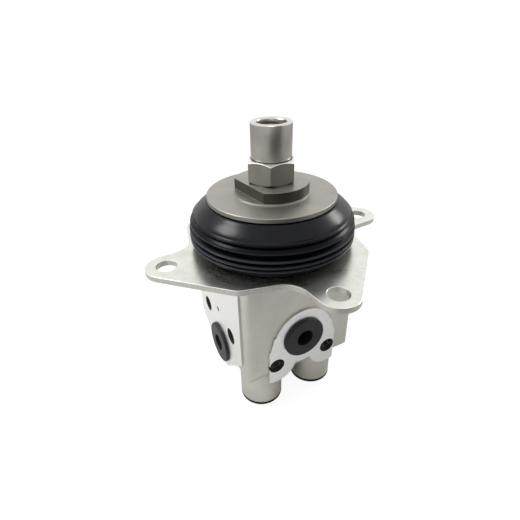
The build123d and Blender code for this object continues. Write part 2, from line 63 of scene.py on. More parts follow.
# %% Helpers for selecting and finishing
def deselect():
    if bpy.context.object and bpy.context.object.mode != "OBJECT":
        bpy.ops.object.mode_set(mode="OBJECT")
    bpy.ops.object.select_all(action="DESELECT")


def only(obj):
    deselect()
    obj.select_set(True)
    bpy.context.view_layer.objects.active = obj


def apply_modifiers(obj):
    only(obj)
    for modifier in list(obj.modifiers):
        bpy.ops.object.modifier_apply(modifier=modifier.name)


def finish_piece(obj, name, material, smooth=35):
    """Put the place into the mesh, shade it, name it and give it its finish."""
    only(obj)
    bpy.ops.object.transform_apply(location=True, rotation=True, scale=True)
    bpy.ops.object.shade_smooth_by_angle(angle=radians(smooth))
    obj.name = name
    obj.data.materials.clear()
    obj.data.materials.append(material)
    print(name, "has", len(obj.data.polygons), "faces")
    return obj


print("helpers for selecting and finishing are ready")

# %% [markdown]
# ## Colours and shader nodes
# Colours are written as sRGB hex, as a colour picker shows them, and turned to the linear
# numbers that the shaders use. One function adds a node, sets it and links its inputs. A Mix
# node keeps one set of sockets for numbers and another for colours, so they get names here.


# %% Colour and node helpers
MIX_FACTOR = 0
NUMBER_A = 2
NUMBER_B = 3
COLOUR_A = 6
COLOUR_B = 7
MIXED_NUMBER = 0
MIXED_COLOUR = 2


def linear(hex_colour):
    """sRGB hex to linear RGBA."""
    channels = [int(hex_colour[i:i + 2], 16) / 255 for i in (1, 3, 5)]
    return [c / 12.92 if c <= 0.04045 else ((c + 0.055) / 1.055) ** 2.4 for c in channels] + [1.0]


def add_node(tree, kind, inputs=(), **settings):
    """Add a node, set its fields, then fill or link its inputs: (socket, value or output)."""
    node = tree.nodes.new("ShaderNode" + kind)
    for field, value in settings.items():
        setattr(node, field, value)
    for socket, value in inputs:
        if isinstance(value, bpy.types.NodeSocket):
            tree.links.new(value, node.inputs[socket])
        else:
            node.inputs[socket].default_value = value
    return node


def new_material(name):
    """A material with its tree, its Principled shader and its object coordinates."""
    material = bpy.data.materials.new(name)
    material.use_nodes = True
    tree = material.node_tree
    shader = tree.nodes["Principled BSDF"]
    place = add_node(tree, "TexCoord").outputs["Object"]
    return material, tree, shader, place


print("middle grey in linear numbers:", round(linear("#808080")[0], 3))

# %% [markdown]
# ## Clouds and relief
# No finish is quite even. Most finishes here have a value that drifts in soft clouds, which keeps
# a large face from looking painted, and a relief too fine to model, which only tilts the light.


# %% Clouded values and colours, and fine relief
def clouds(tree, place, size_mm, low, high, detail=3.0, roughness=0.5, contrast=(0.3, 0.7)):
    """A value that drifts between low and high in clouds about size_mm across."""
    drift = add_node(tree, "TexNoise", [
        ("Vector", place), ("Scale", 1 / (size_mm * MM)), ("Detail", detail),
        ("Roughness", roughness)]).outputs["Fac"]
    return add_node(tree, "MapRange", [
        ("Value", drift), ("From Min", contrast[0]), ("From Max", contrast[1]),
        ("To Min", low), ("To Max", high)]).outputs["Result"]


def clouded_colour(tree, place, size_mm, dark, pale, **clouding):
    """A colour that drifts between two close tones."""
    tone = clouds(tree, place, size_mm, 0.0, 1.0, **clouding)
    return add_node(tree, "Mix", [
        (MIX_FACTOR, tone), (COLOUR_A, linear(dark)), (COLOUR_B, linear(pale))],
        data_type="RGBA").outputs[MIXED_COLOUR]


def fine_relief(tree, shader, place, size_mm, depth_mm, strength, detail=2.0):
    """Bumps about size_mm across over the whole surface."""
    grain = add_node(tree, "TexNoise", [
        ("Vector", place), ("Scale", 1 / (size_mm * MM)), ("Detail", detail)]).outputs["Fac"]
    tilted = add_node(tree, "Bump", [
        ("Height", grain), ("Distance", depth_mm * MM), ("Strength", strength)]).outputs[0]
    tree.links.new(tilted, shader.inputs["Normal"])


print("clouds and relief are drawn at sizes in millimetres")

# %% [markdown]
# ## Masks by place
# One turned piece can carry two finishes, such as a blasted skin with a bright cut end. It could
# be split in two, but a mask made from the place of the surface does it in one, as masking tape
# would. The turned pieces all stand on the lever's axis, so heights and radii are enough.


# %% Masks above a height and outside a radius
MASK_BLUR_MM = 0.03


def above(tree, place, at_mm):
    """1 on surfaces above a height and 0 below it."""
    height = add_node(tree, "SeparateXYZ", [("Vector", place)]).outputs["Z"]
    return add_node(tree, "MapRange", [
        ("Value", height), ("From Min", (at_mm - MASK_BLUR_MM) * MM),
        ("From Max", (at_mm + MASK_BLUR_MM) * MM)]).outputs["Result"]


def distance_from_axis(tree, place):
    flat = add_node(tree, "VectorMath", [(0, place), (1, (1, 1, 0))], operation="MULTIPLY")
    return add_node(tree, "VectorMath", [(0, flat.outputs[0])], operation="LENGTH").outputs["Value"]


def outside(tree, place, radius_mm, blur_mm=MASK_BLUR_MM):
    """1 on surfaces farther from the lever's axis than a radius and 0 nearer to it."""
    return add_node(tree, "MapRange", [
        ("Value", distance_from_axis(tree, place)), ("From Min", (radius_mm - blur_mm) * MM),
        ("From Max", (radius_mm + blur_mm) * MM)]).outputs["Result"]


print("mask edges are", 2 * MASK_BLUR_MM, "mm wide")

# %% [markdown]
# ## Blasted steel
# The disk, the nut and the sleeve are steel, turned, then bead-blasted and phosphated. Blasting
# leaves a fine even grain, so the light spreads widely and the metal looks warm grey and dull.
# The grit marks are about 0.1 mm; they are drawn at 0.35 mm so that they show. The boss's sides
# are painted dark as painted shade, and the disk's rim half as dark; the nut's crown and the
# sleeve's end were cut bright after blasting.


# %% Where the cut finish of the nut and the sleeve, and the painted shade of the disk, lie
BOSS_LEDGE_Z = 30.4
BOSS_TOP = 35.8
DISK_R = 33.0
NUT_TOP = 46.8
NUT_CROWN_R = 10.7
NUT_CROWN_SLOPE = tan(radians(30))
SLEEVE_TOP = 63.8


def painted_side_shade(tree, place):
    """Painted shade: 1 on the boss's upright sides, from the ledge to the top, and a half on the
    disk's rim.
    """
    over_ledge = above(tree, place, BOSS_LEDGE_Z + 0.05)
    over_top = above(tree, place, BOSS_TOP - 0.1)
    boss = add_node(tree, "Math", [(0, over_ledge), (1, over_top)],
                    operation="SUBTRACT").outputs[0]
    rim = add_node(tree, "Math", [(0, outside(tree, place, DISK_R - 0.12)), (1, 0.5)],
                   operation="MULTIPLY").outputs[0]
    return add_node(tree, "Math", [(0, boss), (1, rim)], operation="MAXIMUM").outputs[0]


def nut_crown(tree, place):
    """1 on the turned cone over the nut's corners and on the top face inside it."""
    height = add_node(tree, "SeparateXYZ", [("Vector", place)]).outputs["Z"]
    level = add_node(tree, "Math", [
        (0, distance_from_axis(tree, place)), (1, NUT_CROWN_SLOPE), (2, height)],
        operation="MULTIPLY_ADD").outputs[0]
    cone_mm = NUT_TOP + NUT_CROWN_R * NUT_CROWN_SLOPE - 0.2
    return add_node(tree, "MapRange", [
        ("Value", level), ("From Min", (cone_mm - MASK_BLUR_MM) * MM),
        ("From Max", (cone_mm + MASK_BLUR_MM) * MM)]).outputs["Result"]


def sleeve_end(tree, place):
    """1 on the top face of the sleeve, with its chamfers."""
    return above(tree, place, SLEEVE_TOP - 0.55)


print("boss from", BOSS_LEDGE_Z, "to", BOSS_TOP, "mm, sleeve up to", SLEEVE_TOP, "mm")

# %% Material: blasted phosphated steel
GRIT_MM = 0.35
STEEL_CLOUD_MM = 9.0


def blasted_steel(name, pale, dark, roughness, second_mask, second_colour, second_roughness):
    """Blasted steel, with a second colour where second_mask(tree, place) is 1: a bright cut face on
    the nut and the sleeve, painted shade on the disk.
    """
    material, tree, shader, place = new_material(name)
    blasted = clouded_colour(tree, place, STEEL_CLOUD_MM, dark, pale, detail=4.0)
    grain = clouds(tree, place, GRIT_MM, roughness - 0.05, roughness + 0.05, detail=2.0)
    second = second_mask(tree, place)
    colour = add_node(tree, "Mix", [
        (MIX_FACTOR, second), (COLOUR_A, blasted), (COLOUR_B, linear(second_colour))],
        data_type="RGBA").outputs[MIXED_COLOUR]
    rough = add_node(tree, "Mix", [
        (MIX_FACTOR, second), (NUMBER_A, grain), (NUMBER_B, second_roughness)]
        ).outputs[MIXED_NUMBER]
    tree.links.new(colour, shader.inputs["Base Color"])
    tree.links.new(rough, shader.inputs["Roughness"])
    shader.inputs["Metallic"].default_value = 1.0
    fine_relief(tree, shader, place, GRIT_MM, 0.03, 0.5)
    return material


# The disk's second colour is painted shade on the boss's sides and on its rim.
disk_steel = blasted_steel("blasted_phosphated_steel", "#acaaa2", "#a2a098", 0.42,
                           painted_side_shade, "#4c4a44", 0.38)
nut_steel = blasted_steel("blasted_nut_steel", "#8b8881", "#7f7c75", 0.40,
                          nut_crown, "#f0eeea", 0.32)
sleeve_steel = blasted_steel("blasted_sleeve_steel", "#a6a39c", "#98958d", 0.38,
                             sleeve_end, "#dad8d4", 0.24)
print("steel grit drawn at", GRIT_MM, "mm")

# %% [markdown]
# ## Zinc plate
# The plate is cut from 3 mm sheet and bright zinc plated. Zinc gives a pale, slightly yellow
# mirror that is a little cloudy, so nearby dark things show in it with soft edges. The edge is
# sheared, so it is duller and faintly streaked from top to bottom. Faces and edge are told
# apart by their normal: the plate lies flat, so a face looks straight up or down.

# %% Material: bright zinc-plated sheet steel
SPANGLE_MM = 5.0
POLISH_MM = 14.0
STREAK_MM = 0.6
STREAK_STRETCH = (1.0, 1.0, 0.15)
SHEARED_ROUGHNESS = 0.42


def sheared_edge(tree, place):
    """A colour in streaks that run from the plate's top to its underside."""
    stretched = add_node(tree, "Mapping", [("Vector", place), ("Scale", STREAK_STRETCH)])
    streak = add_node(tree, "TexNoise", [
        ("Vector", stretched.outputs[0]), ("Scale", 1 / (STREAK_MM * MM)),
        ("Detail", 2.0)]).outputs["Fac"]
    return add_node(tree, "Mix", [
        (MIX_FACTOR, streak), (COLOUR_A, linear("#b4b2aa")), (COLOUR_B, linear("#d2d0c8"))],
        data_type="RGBA").outputs[MIXED_COLOUR]


def looks_up_or_down(tree):
    """1 on level faces and 0 on upright ones."""
    normal = add_node(tree, "NewGeometry").outputs["Normal"]
    upright = add_node(tree, "SeparateXYZ", [("Vector", normal)]).outputs["Z"]
    flat = add_node(tree, "Math", [(0, upright)], operation="ABSOLUTE").outputs[0]
    return add_node(tree, "MapRange", [
        ("Value", flat), ("From Min", 0.3), ("From Max", 0.7)]).outputs["Result"]


def zinc_plated():
    material, tree, shader, place = new_material("bright_zinc_plated_steel")
    face = clouded_colour(tree, place, SPANGLE_MM, "#dddfd6", "#eeeee6",
                          detail=5.0, roughness=0.6)
    polish = clouds(tree, place, POLISH_MM, 0.25, 0.31, detail=1.0)
    on_face = looks_up_or_down(tree)
    colour = add_node(tree, "Mix", [
        (MIX_FACTOR, on_face), (COLOUR_A, sheared_edge(tree, place)), (COLOUR_B, face)],
        data_type="RGBA").outputs[MIXED_COLOUR]
    rough = add_node(tree, "Mix", [
        (MIX_FACTOR, on_face), (NUMBER_A, SHEARED_ROUGHNESS), (NUMBER_B, polish)]
        ).outputs[MIXED_NUMBER]
    tree.links.new(colour, shader.inputs["Base Color"])
    tree.links.new(rough, shader.inputs["Roughness"])
    shader.inputs["Metallic"].default_value = 1.0
    return material


zinc = zinc_plated()
print("zinc clouds", SPANGLE_MM, "mm across")

# %% [markdown]
# ## Cast and milled aluminium
# The body is sand-cast aluminium, blasted after casting, so its skin is matt with small pits.
# The two port pads and the ends of the feet are milled after that, and a milled face is flatter,
# paler and finer. The casting and its cuts are one piece, so three masks by place tell them
# apart: beyond the cast skin, inside a tapped hole, where the wall is painted dark as shade, and
# a band low on each foot, painted dark as shade.


# %% Masks of the body
PAD_FACE_MM = 34.45
FOOT_FACE_MM = -90.4
CUT_BLUR_MM = 0.02
TAP_OFFSET_MM = 16.3
TAP_MOUTH_MM = 4.65
TAP_REACH_MM = 20.0
FRONT_TAP_Z = -55.2
SIDE_TAP_Z = -40.3
FOOT_SHADE_Z = -87.8


def milled_faces(tree, parts):
    """1 on the two port pads and the feet's ends: all that lies outside the cast skin."""
    milled = 0.0
    for axis, face_mm in (("Y", -PAD_FACE_MM), ("X", -PAD_FACE_MM), ("Z", FOOT_FACE_MM)):
        beyond = add_node(tree, "MapRange", [
            ("Value", parts[axis]), ("From Min", (face_mm - CUT_BLUR_MM) * MM),
            ("From Max", face_mm * MM), ("To Min", 1.0), ("To Max", 0.0)]).outputs["Result"]
        milled = add_node(tree, "Math", [(0, milled), (1, beyond)],
                          operation="MAXIMUM").outputs[0]
    return milled


def painted_hole_shade(tree, parts, across, depth, level_mm):
    """1 inside the two tapped holes of a pad, where the wall is painted dark as shade."""
    mirrored = add_node(tree, "Math", [(0, parts[across])], operation="ABSOLUTE").outputs[0]
    aside = add_node(tree, "Math", [(0, mirrored), (1, TAP_OFFSET_MM * MM)],
                     operation="SUBTRACT").outputs[0]
    raised = add_node(tree, "Math", [(0, parts["Z"]), (1, level_mm * MM)],
                      operation="SUBTRACT").outputs[0]
    off_centre = add_node(tree, "CombineXYZ", [("X", aside), ("Y", raised)]).outputs[0]
    span = add_node(tree, "VectorMath", [(0, off_centre)], operation="LENGTH").outputs["Value"]
    inside = 1.0
    for value, limit_mm in ((span, TAP_MOUTH_MM), (parts[depth], -TAP_REACH_MM)):
        within = add_node(tree, "MapRange", [
            ("Value", value), ("From Min", (limit_mm - MASK_BLUR_MM) * MM),
            ("From Max", (limit_mm + MASK_BLUR_MM) * MM), ("To Min", 1.0), ("To Max", 0.0)]
            ).outputs["Result"]
        inside = add_node(tree, "Math", [(0, inside), (1, within)],
                          operation="MULTIPLY").outputs[0]
    return inside


print("pads at", PAD_FACE_MM, "mm from the axis, feet end at", FOOT_FACE_MM, "mm")

# %% Material: sand-cast aluminium with milled faces
SAND_MM = 0.8
SKIN_CLOUD_MM = 12.0
PIT_MM = 1.3
CUTTER_STEP_MM = 0.7
WAVES_PER_SCALE = 20
MILLED_ROUGHNESS = 0.36


def cast_skin(tree, place):
    """The blasted skin's colour: soft clouds with a few small dark pits."""
    skin = clouded_colour(tree, place, SKIN_CLOUD_MM, "#c9c7be", "#d3d1c8")
    pits = clouds(tree, place, PIT_MM, 0.6, 0.0, detail=1.0, contrast=(0.22, 0.26))
    return add_node(tree, "Mix", [
        (MIX_FACTOR, pits), (COLOUR_A, skin), (COLOUR_B, linear("#7d7a73"))],
        data_type="RGBA").outputs[MIXED_COLOUR]


def milled_face(tree, place):
    """The cut faces' colour: very faint lines, one for each step of the cutter."""
    lines = add_node(tree, "TexWave", [
        ("Vector", place), ("Scale", 1 / (CUTTER_STEP_MM * WAVES_PER_SCALE * MM)),
        ("Distortion", 1.5)], bands_direction="Z").outputs["Fac"]
    return add_node(tree, "Mix", [
        (MIX_FACTOR, lines), (COLOUR_A, linear("#ececea")), (COLOUR_B, linear("#efefec"))],
        data_type="RGBA").outputs[MIXED_COLOUR]


def painted_shade_places(tree, parts, milled):
    """Each place of the body painted dark as shade, as a mask and a colour."""
    # Inside the tapped holes the wall is painted dark as shade.
    front = painted_hole_shade(tree, parts, "X", "Y", FRONT_TAP_Z)
    side = painted_hole_shade(tree, parts, "Y", "X", SIDE_TAP_Z)
    holes = add_node(tree, "Math", [(0, front), (1, side)], operation="MAXIMUM").outputs[0]
    skin_only = add_node(tree, "Math", [(0, 1.0), (1, milled)], operation="SUBTRACT").outputs[0]
    holes = add_node(tree, "Math", [(0, holes), (1, skin_only)], operation="MULTIPLY").outputs[0]
    # The lowest band of each foot is painted dark as shade.
    painted_foot_shade = add_node(tree, "MapRange", [
        ("Value", parts["Z"]), ("From Min", (FOOT_SHADE_Z - MASK_BLUR_MM) * MM),
        ("From Max", (FOOT_SHADE_Z + MASK_BLUR_MM) * MM), ("To Min", 1.0), ("To Max", 0.0)]
        ).outputs["Result"]
    return (holes, "#2e2c2a"), (painted_foot_shade, "#1c1b19")


def cast_relief(tree, shader, place, milled):
    """Sand grain on the skin, none on the milled faces; also gives the skin its roughness."""
    sand = add_node(tree, "TexNoise", [
        ("Vector", place), ("Scale", 1 / (SAND_MM * MM)), ("Detail", 4.0),
        ("Roughness", 0.6)]).outputs["Fac"]
    height = add_node(tree, "Mix", [
        (MIX_FACTOR, milled), (NUMBER_A, sand), (NUMBER_B, 0.5)]).outputs[MIXED_NUMBER]
    tilted = add_node(tree, "Bump", [
        ("Height", height), ("Distance", 0.12 * MM), ("Strength", 0.5)]).outputs[0]
    tree.links.new(tilted, shader.inputs["Normal"])
    skin_rough = clouds(tree, place, SAND_MM, 0.42, 0.54, detail=4.0, roughness=0.6)
    rough = add_node(tree, "Mix", [
        (MIX_FACTOR, milled), (NUMBER_A, skin_rough), (NUMBER_B, MILLED_ROUGHNESS)]
        ).outputs[MIXED_NUMBER]
    tree.links.new(rough, shader.inputs["Roughness"])


def cast_aluminium():
    material, tree, shader, place = new_material("sand_cast_aluminium")
    parts = add_node(tree, "SeparateXYZ", [("Vector", place)]).outputs
    milled = milled_faces(tree, parts)
    colour = add_node(tree, "Mix", [
        (MIX_FACTOR, milled), (COLOUR_A, cast_skin(tree, place)),
        (COLOUR_B, milled_face(tree, place))], data_type="RGBA").outputs[MIXED_COLOUR]
    # Each painted shade is laid over the finish.
    for mask, dark in painted_shade_places(tree, parts, milled):
        colour = add_node(tree, "Mix", [
            (MIX_FACTOR, mask), (COLOUR_A, colour), (COLOUR_B, linear(dark))],
            data_type="RGBA").outputs[MIXED_COLOUR]
    tree.links.new(colour, shader.inputs["Base Color"])
    shader.inputs["Metallic"].default_value = 1.0
    cast_relief(tree, shader, place, milled)
    return material


aluminium = cast_aluminium()
print("sand grain", SAND_MM, "mm, cutter step", CUTTER_STEP_MM, "mm")

# %% [markdown]
# ## Rubber
# The boot is moulded black nitrile rubber. It is dark with a soft shine, cloudy where the surface
# has bloomed. The shoulder is wiped clean and shines more than the folds. The folds' outer edges
# are painted a little grey as a painted highlight. A height and a radius tell these places apart.

# %% Material: nitrile rubber
BLOOM_MM = 16.0
WIPED_ABOVE = 20.7
CREST_HIGHLIGHT_R = 42.35
CREST_HIGHLIGHT_BLUR = 0.15


def nitrile_rubber():
    material, tree, shader, place = new_material("moulded_nitrile_rubber")
    black = clouded_colour(tree, place, BLOOM_MM, "#040508", "#0b0d13", contrast=(0.35, 0.65))
    shoulder = above(tree, place, WIPED_ABOVE)
    folds_only = add_node(tree, "Math", [(0, 1.0), (1, shoulder)],
                          operation="SUBTRACT").outputs[0]
    # The folds' outer edges are painted grey: a painted highlight.
    painted_highlight = add_node(tree, "Math", [
        (0, outside(tree, place, CREST_HIGHLIGHT_R, CREST_HIGHLIGHT_BLUR)), (1, folds_only)],
        operation="MULTIPLY").outputs[0]
    colour = add_node(tree, "Mix", [
        (MIX_FACTOR, painted_highlight), (COLOUR_A, black), (COLOUR_B, linear("#3a3c41"))],
        data_type="RGBA").outputs[MIXED_COLOUR]
    shine = add_node(tree, "MapRange", [
        ("Value", shoulder), ("To Min", 0.08), ("To Max", 0.2)]).outputs["Result"]
    tree.links.new(colour, shader.inputs["Base Color"])
    tree.links.new(clouds(tree, place, BLOOM_MM, 0.17, 0.31), shader.inputs["Roughness"])
    tree.links.new(shine, shader.inputs["Specular IOR Level"])
    shader.inputs["IOR"].default_value = 1.52
    fine_relief(tree, shader, place, 0.6, 0.02, 0.25)
    return material


rubber = nitrile_rubber()
print("rubber wiped above", WIPED_ABOVE, "mm, worn outside radius", CREST_HIGHLIGHT_R, "mm")

# %% [markdown]
# ## Plastic
# The shipping plugs are moulded polyethylene: dark grey, waxy and smooth, with a dull shine.

# %% Material: polyethylene
MOULD_CLOUD_MM = 3.0


def polyethylene():
    material, tree, shader, place = new_material("moulded_polyethylene")
    colour = clouded_colour(tree, place, MOULD_CLOUD_MM, "#17181a", "#1e1f22",
                            contrast=(0.0, 1.0))
    tree.links.new(colour, shader.inputs["Base Color"])
    tree.links.new(clouds(tree, place, MOULD_CLOUD_MM, 0.42, 0.5), shader.inputs["Roughness"])
    shader.inputs["IOR"].default_value = 1.51
    shader.inputs["Specular IOR Level"].default_value = 0.35
    fine_relief(tree, shader, place, 0.5, 0.01, 0.3, detail=3.0)
    return material


plastic = polyethylene()
print("soft materials:", rubber.name, plastic.name)

# %% [markdown]
# ## Steel of the hidden works
# Pins, pushers and spools are ground bright, springs are drawn wire with a film of oil, and the
# guides are turned brass-coloured steel. They lie under the boot or inside the body. A lathe
# leaves fine rings, so one pattern of bands does for all of them.


# %% Materials: ground steel, oiled spring wire, turned guide steel, cut thread
def turned_metal(name, pale, dark, roughness, step_mm):
    """Turned metal with one ring for each step of the tool."""
    material, tree, shader, place = new_material(name)
    rings = add_node(tree, "TexWave", [
        ("Vector", place), ("Scale", 1 / (step_mm * WAVES_PER_SCALE * MM)),
        ("Distortion", 0.6)], bands_direction="Z").outputs["Fac"]
    colour = add_node(tree, "Mix", [
        (MIX_FACTOR, rings), (COLOUR_A, linear(dark)), (COLOUR_B, linear(pale))],
        data_type="RGBA").outputs[MIXED_COLOUR]
    tilted = add_node(tree, "Bump", [
        ("Height", rings), ("Distance", 0.01 * MM), ("Strength", 0.3)]).outputs[0]
    tree.links.new(colour, shader.inputs["Base Color"])
    tree.links.new(clouds(tree, place, 3.0, roughness - 0.04, roughness + 0.04),
                   shader.inputs["Roughness"])
    tree.links.new(tilted, shader.inputs["Normal"])
    shader.inputs["Metallic"].default_value = 1.0
    return material


ground_steel = turned_metal("ground_steel", "#cfcfcf", "#c2c2c3", 0.22, 0.2)
spring_wire = turned_metal("oiled_spring_wire", "#6f6f72", "#5c5c60", 0.35, 0.4)
guide_steel = turned_metal("turned_guide_steel", "#b9ae98", "#a89d88", 0.34, 0.3)
thread_steel = turned_metal("cut_thread", "#56534e", "#45423e", 0.42, 0.4)
print("hidden metals made")

# %% [markdown]
# ## Camera
# The camera looks down at the valve from in front of the edge between its two port faces. It is
# held level but for a slight roll, and its lens is a little wide, so near things look larger.

# %% Camera
CAMERA_AT = Vector((-88.8, -159.4, 101.7)) * MM
LOOK = Vector((0.386, 0.757, -0.527)).normalized()
ROLL = -0.024
LENS_MM = 26.36
SENSOR_MM = 36.0
right = LOOK.cross(Vector((0, 0, 1))).normalized()
up = right.cross(LOOK)
rolled_right = right * cos(ROLL) + up * sin(ROLL)
rolled_up = up * cos(ROLL) - right * sin(ROLL)
camera_data = bpy.data.cameras.new("view")
camera_data.lens = LENS_MM
camera_data.sensor_width = SENSOR_MM
camera_data.clip_start = 0.01
camera = bpy.data.objects.new("view", camera_data)
bpy.context.scene.collection.objects.link(camera)
turn = Matrix((rolled_right, rolled_up, -LOOK)).transposed().to_4x4()
camera.matrix_world = Matrix.Translation(CAMERA_AT) @ turn
bpy.context.scene.camera = camera
print("camera stands", round(CAMERA_AT.length / MM), "mm from the plate's centre")

# %% [markdown]
# ## Lamps
# The light is a plain studio. A lamp from above on the left shapes the valve, a weaker one on
# the right lifts the far side, and a broad one low in front keeps the two port faces clear.


# %% Three square lamps
def area_lamp(name, place_mm, size_mm, watts, aim_mm=(0, 0, -10)):
    """A square lamp at a place in millimetres, aimed at a point on the valve."""
    data = bpy.data.lights.new(name, "AREA")
    data.shape = "SQUARE"
    data.size = size_mm * MM
    data.energy = watts
    lamp = bpy.data.objects.new(name, data)
    bpy.context.scene.collection.objects.link(lamp)
    lamp.location = Vector(place_mm) * MM
    aim = (Vector(aim_mm) - Vector(place_mm)) * MM
    lamp.rotation_euler = aim.to_track_quat("-Z", "Y").to_euler()
    print(name, watts, "W,", size_mm, "mm wide")


area_lamp("key_lamp", (-400, 210, 520), 220, 2.2)
area_lamp("right_lamp", (590, 10, 330), 160, 0.9)
area_lamp("front_lamp", (-330, -640, 240), 420, 1.3)

# %% [markdown]
# ## Room
# The room lights everything a little from all sides. The camera, and metal that mirrors it, see
# it as pure white, so the background is blank and steel looks bright without more lamp light.

# %% Pale room
ROOM_LIGHT = 0.55
scene = bpy.context.scene
scene.view_settings.view_transform = "Standard"
world = bpy.data.worlds.new("pale_room")
scene.world = world
world.use_nodes = True
room = world.node_tree
room.nodes.clear()
seen = add_node(room, "LightPath")
lit = add_node(room, "Background", [("Color", (1, 1, 1, 1)), ("Strength", ROOM_LIGHT)])
white = add_node(room, "Background", [("Color", (1, 1, 1, 1)), ("Strength", 1.0)])
mirrored = add_node(room, "Math", [
    (0, seen.outputs["Is Glossy Ray"]), (1, seen.outputs["Is Transmission Ray"])],
    operation="MAXIMUM")
shown = add_node(room, "Math", [(0, seen.outputs["Is Camera Ray"]), (1, mirrored.outputs[0])],
                 operation="MAXIMUM")
room_mix = add_node(room, "MixShader", [
    (0, shown.outputs[0]), (1, lit.outputs[0]), (2, white.outputs[0])])
add_node(room, "OutputWorld", [("Surface", room_mix.outputs[0])])
print("room lights at", ROOM_LIGHT, "and shows at 1")

# %% [markdown]
# ## Dark card
# A round steel sleeve in a white room has nothing to mirror and looks flat. A dark grey card
# below and in front of the camera gives it the broad dark stripe that shows it is round. The
# camera itself doesn't see the card.

# %% The card, as a plane that stands upright
CARD_M = 0.32
deselect()
bpy.ops.mesh.primitive_plane_add(size=CARD_M, location=(-0.03, -0.24, -0.03),
                                 rotation=(radians(90), 0, radians(-7)))
card = bpy.context.object
card.name = "black_card"
card_black, tree, shader, place = new_material("black_card")
shader.inputs["Base Color"].default_value = linear("#4c4c4c")
shader.inputs["Roughness"].default_value = 0.9
card.data.materials.append(card_black)
card.visible_camera = False
print("card", CARD_M, "m square")

# %% [markdown]
# ## Floor
# The floor is pale and matt. Where the camera sees it, most of its colour is a glow, so that it
# runs into the white room with no edge and keeps only a faint shadow under the feet.

# %% Floor under the foot plugs
FLOOR_MM = -91.8
FLOOR_GLOW = 1.2
FLOOR_GLOW_SHARE = 0.75
deselect()
bpy.ops.mesh.primitive_plane_add(size=6.0, location=(0, 0, FLOOR_MM * MM))
floor = bpy.context.object
floor.name = "floor"
floor_white, tree, shader, place = new_material("pale_painted_floor")
shader.inputs["Base Color"].default_value = linear("#f4f4f4")
shader.inputs["Roughness"].default_value = 0.9
seen = add_node(tree, "LightPath").outputs["Is Camera Ray"]
glow = add_node(tree, "Emission", [("Color", (1, 1, 1, 1)), ("Strength", FLOOR_GLOW)])
share = add_node(tree, "Math", [(0, seen), (1, FLOOR_GLOW_SHARE)], operation="MULTIPLY")
floor_mix = add_node(tree, "MixShader", [
    (0, share.outputs[0]), (1, shader.outputs[0]), (2, glow.outputs[0])])
tree.links.new(floor_mix.outputs[0], tree.nodes["Material Output"].inputs["Surface"])
floor.data.materials.append(floor_white)
print("floor at", FLOOR_MM, "mm")

# %% [markdown]
# ## Boot
# The boot is one moulded piece: a sloping shoulder that hugs the disk, then thin folds stacked
# on each other down to a foot on the plate. It could be lofted from circles; here one ring is
# extruded up along the profile, which is how its mould is turned. It is made in two halves that
# meet at a ring.


# %% A turned piece: one ring extruded along its outline
def turned(outline, segments):
    """Close a ring over an outline of (radius, height) points in millimetres."""
    deselect()
    radius, height = outline[0]
    bpy.ops.mesh.primitive_circle_add(vertices=segments, radius=radius * MM,
                                      location=(0, 0, height * MM))
    piece = bpy.context.object
    bpy.ops.object.mode_set(mode="EDIT")
    bpy.ops.mesh.select_all(action="SELECT")
    for next_radius, next_height in outline[1:] + outline[:1]:
        bpy.ops.mesh.extrude_region_move(
            TRANSFORM_OT_translate={"value": (0, 0, (next_height - height) * MM)})
        grow = next_radius / radius
        bpy.ops.transform.resize(value=(grow, grow, 1), center_override=(0, 0, 0))
        radius, height = next_radius, next_height
    bpy.ops.mesh.select_all(action="SELECT")
    bpy.ops.mesh.remove_doubles(threshold=1e-6)
    bpy.ops.mesh.normals_make_consistent(inside=False)
    bpy.ops.object.mode_set(mode="OBJECT")
    return piece


# %% Outlines of the boot: folds below, shoulder above
BOOT_SEGMENTS = 96
BOOT_SMOOTHING = 2
BOOT_FOOT_Z = 4.2
WALL_MM = 1.6
FOLD_CREST_RADII = (43.1, 43.2, 43.1, 42.4)
FOLD_ROOT_R = 40.0
FOLD_CRESTS = (8.1, 10.2, 13.1, 17.0)
FOLD_HALF = 0.4
SEAM_Z = 19.0
LIP_Z = 26.9
LIP_IN_R = 31.8


def rounded_fold(crest_r, crest_z):
    """Outline points of one fold's outer edge: a narrow flat with a small round at each side."""
    half = [(crest_r, FOLD_HALF * 0.7), (crest_r - 0.1, FOLD_HALF), (crest_r - 0.6, FOLD_HALF + 0.1)]
    lower = [(radius, crest_z - offset) for radius, offset in reversed(half)]
    upper = [(radius, crest_z + offset) for radius, offset in half]
    return lower + upper


def fold_outline():
    """The folded wall from the foot on the plate up to the seam, outside and then inside."""
    outer = [(36.0, 3.05), (39.0, 3.05), (39.3, 3.5), (39.2, 4.4), (39.2, 6.2)]
    for crest_r, crest, following in zip(FOLD_CREST_RADII, FOLD_CRESTS,
                                         FOLD_CRESTS[1:] + (SEAM_Z + 1.9,)):
        middle = (crest + following) / 2
        outer += rounded_fold(crest_r, crest)
        outer += [(FOLD_ROOT_R, middle - 0.2)] if middle < SEAM_Z - 0.1 else []
        outer += [(FOLD_ROOT_R, min(middle + 0.2, SEAM_Z))]
    inner_r = FOLD_ROOT_R - WALL_MM
    return outer + [(inner_r, SEAM_Z), (inner_r, 10.0), (37.6, 6.4), (37.6, 4.6),
                    (36.0, BOOT_FOOT_Z)]


